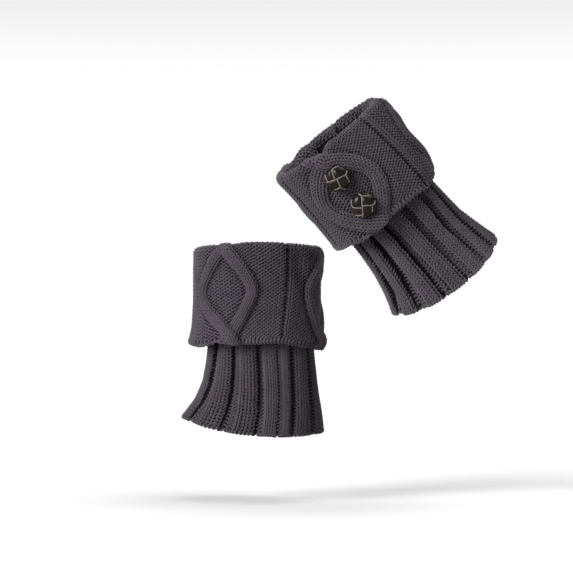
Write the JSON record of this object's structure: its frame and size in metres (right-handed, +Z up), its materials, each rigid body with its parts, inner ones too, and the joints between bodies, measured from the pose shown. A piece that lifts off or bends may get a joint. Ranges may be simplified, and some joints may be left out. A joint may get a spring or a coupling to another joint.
{
  "type": "pair of leg warmers",
  "caption": "Pair of chunky knit leg warmers: flared ribbed tubes with turned-down cable cuffs and domed woven-leather-look shank buttons, open as worn.",
  "frame": {"origin": "on the right leg's axis, inside the right leg warmer where its ribs close round the leg, level with the lower edge of the right cuff", "axes": "+Z up along the right leg, -X the way the wearer faces, +Y to the wearer's right; the left leg warmer stands towards -Y"},
  "size_m": [0.2572, 0.1983, 0.273],
  "materials": {
    "ribbed_knit": "matt charcoal wool-look yarn, wide ribs",
    "cable_knit": "matt charcoal wool-look yarn, purl ground with raised cables",
    "button": "glossy dark brown panels with raised tan seams"
  },
  "bodies": {
    "root": {"right_ribbed_tube": "ribbed_knit", "right_cable_cuff": "cable_knit", "right_lower_button": "button", "right_upper_button": "button", "left_ribbed_tube": "ribbed_knit", "left_cable_cuff": "cable_knit", "left_lower_button": "button", "left_upper_button": "button"}
  },
  "joints": []
}
